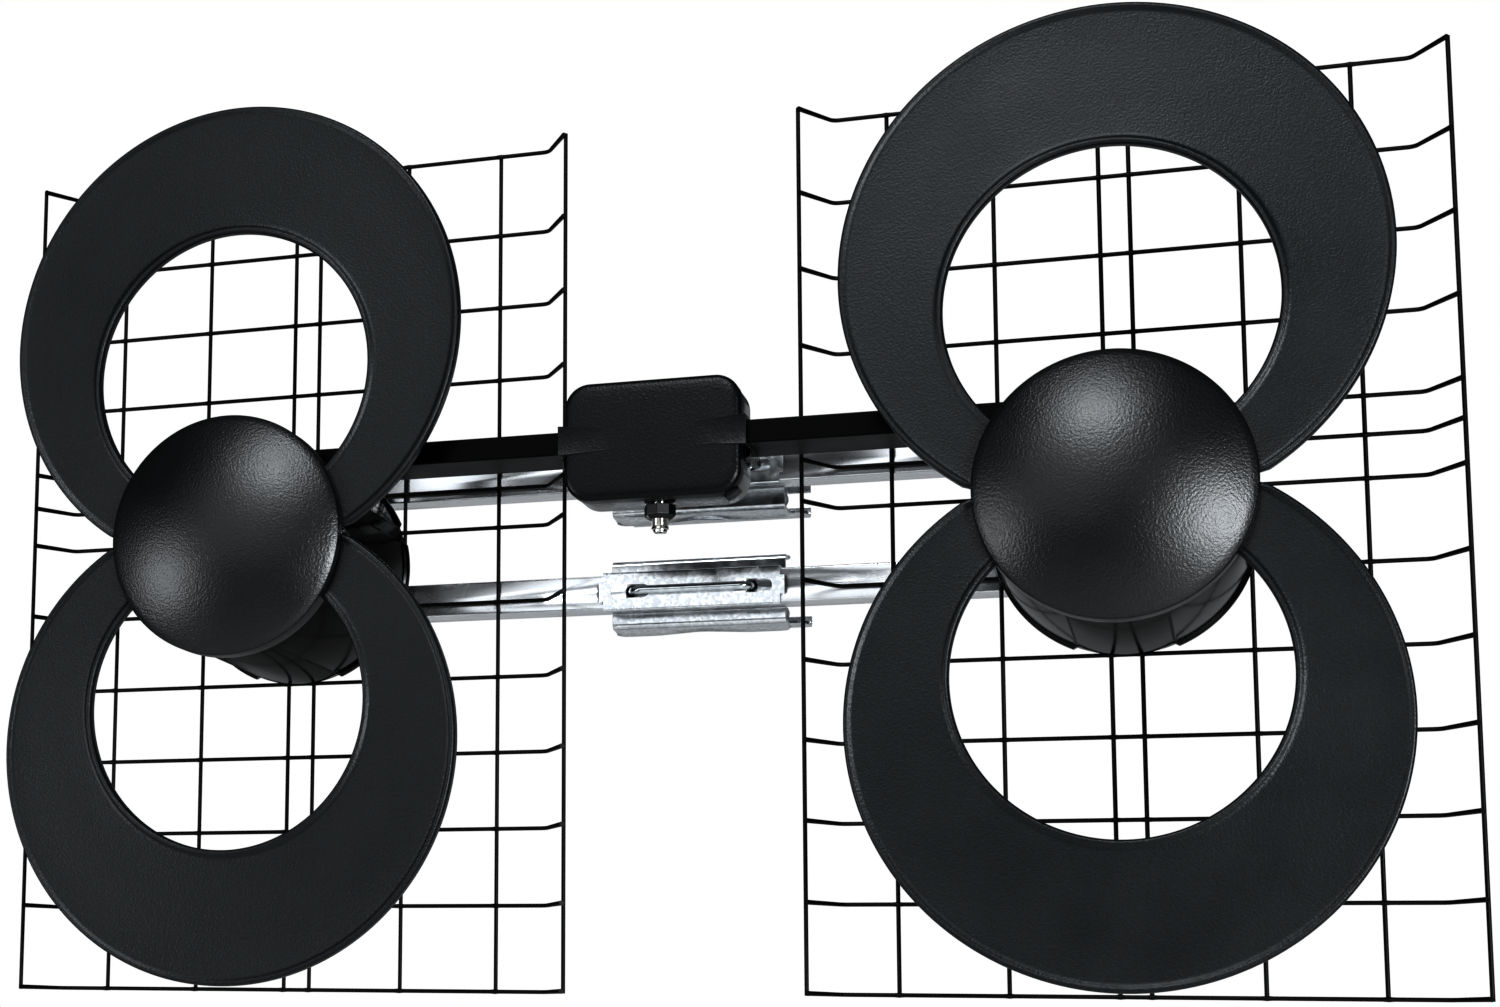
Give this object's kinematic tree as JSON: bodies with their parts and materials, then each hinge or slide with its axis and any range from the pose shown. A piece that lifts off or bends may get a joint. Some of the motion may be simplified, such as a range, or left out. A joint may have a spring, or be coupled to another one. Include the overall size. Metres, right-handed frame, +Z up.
{
  "type": "UHF television antenna",
  "caption": "Outdoor UHF antenna: tapered figure-eight loops on hubs before wire-grid reflectors, joined by booms, a combiner box and mast clamps.",
  "frame": {"origin": "on the mast axis, midway between the upper and the lower clamp", "axes": "+Z up along the mast, +X along the booms to the viewer's right when looking at the loops, -Y from the mast towards the loops"},
  "size_m": [0.8282, 0.26, 0.5124],
  "materials": {
    "coated_wire": "satin black coating on welded steel wire",
    "painted_sheet": "fine-textured black powder coat",
    "black_plastic": "fine moulded grain",
    "gloss_plastic": "smooth moulded",
    "circuit_board": "solder mask",
    "cable_jacket": "extruded jacket",
    "black_rubber": "moulded",
    "nickel": "bright nickel plate",
    "aluminium_tube": "mill finish, drawn",
    "zinc": "bright zinc plate"
  },
  "bodies": {
    "frame": {"left_reflector": "coated_wire", "left_upper_loop": "painted_sheet", "left_upper_loop_screw_a": "zinc", "left_upper_loop_screw_b": "zinc", "left_upper_hub_screw": "zinc", "left_lower_loop": "painted_sheet", "left_lower_loop_screw_a": "zinc", "left_lower_loop_screw_b": "zinc", "left_lower_hub_screw": "zinc", "left_dome_cover": "black_plastic", "left_hub_housing": "black_plastic", "left_hub_base": "black_plastic", "left_balun_board": "circuit_board", "left_feed_bar": "black_plastic", "left_phasing_line": "cable_jacket", "left_bar_screw": "zinc", "right_reflector": "coated_wire", "right_upper_loop": "painted_sheet", "right_upper_loop_screw_a": "zinc", "right_upper_loop_screw_b": "zinc", "right_upper_hub_screw": "zinc", "right_lower_loop": "painted_sheet", "right_lower_loop_screw_a": "zinc", "right_lower_loop_screw_b": "zinc", "right_lower_hub_screw": "zinc", "right_dome_cover": "black_plastic", "right_hub_housing": "black_plastic", "right_hub_base": "black_plastic", "right_balun_board": "circuit_board", "right_feed_bar": "black_plastic", "right_phasing_line": "cable_jacket", "right_bar_screw": "zinc", "combiner_front_cover": "black_plastic", "combiner_rear_shell": "gloss_plastic", "combiner_board": "circuit_board", "coax_socket": "nickel", "socket_boot": "black_rubber", "upper_boom": "aluminium_tube", "upper_saddle_plate": "zinc", "upper_u_bolt": "zinc", "upper_front_jaw": "zinc", "lower_boom": "aluminium_tube", "lower_saddle_plate": "zinc", "lower_u_bolt": "zinc", "lower_front_jaw": "zinc"},
    "upper_jaw": {"upper_rear_jaw": "zinc", "upper_left_washer": "zinc", "upper_right_washer": "zinc"},
    "upper_left_nut_body": {"upper_left_nut": "zinc"},
    "upper_right_nut_body": {"upper_right_nut": "zinc"},
    "lower_jaw": {"lower_rear_jaw": "zinc", "lower_left_washer": "zinc", "lower_right_washer": "zinc"},
    "lower_left_nut_body": {"lower_left_nut": "zinc"},
    "lower_right_nut_body": {"lower_right_nut": "zinc"}
  },
  "joints": [
    {"name": "upper_jaw_slide", "type": "slide", "parent": "frame", "child": "upper_jaw", "axis": [0, 1, 0], "range_m": [-0.024, 0.008]},
    {"name": "upper_left_nut_spin", "type": "hinge", "parent": "upper_jaw", "child": "upper_left_nut_body", "pos_m": [-0.0353, 0.04215, 0.0357], "axis": [0, 1, 0], "range_deg": [-8600, 2900]},
    {"name": "upper_right_nut_spin", "type": "hinge", "parent": "upper_jaw", "child": "upper_right_nut_body", "pos_m": [0.0353, 0.04215, 0.0357], "axis": [0, 1, 0], "range_deg": [-8600, 2900]},
    {"name": "lower_jaw_slide", "type": "slide", "parent": "frame", "child": "lower_jaw", "axis": [0, 1, 0], "range_m": [-0.024, 0.008]},
    {"name": "lower_left_nut_spin", "type": "hinge", "parent": "lower_jaw", "child": "lower_left_nut_body", "pos_m": [-0.0353, 0.04215, -0.0357], "axis": [0, 1, 0], "range_deg": [-8600, 2900]},
    {"name": "lower_right_nut_spin", "type": "hinge", "parent": "lower_jaw", "child": "lower_right_nut_body", "pos_m": [0.0353, 0.04215, -0.0357], "axis": [0, 1, 0], "range_deg": [-8600, 2900]}
  ],
  "couplings": [
    {"joint": "upper_left_nut_spin", "follows": "upper_jaw_slide", "rad_per_m": 5936.9},
    {"joint": "upper_right_nut_spin", "follows": "upper_jaw_slide", "rad_per_m": 5936.9},
    {"joint": "lower_left_nut_spin", "follows": "lower_jaw_slide", "rad_per_m": 5936.9},
    {"joint": "lower_right_nut_spin", "follows": "lower_jaw_slide", "rad_per_m": 5936.9}
  ]
}
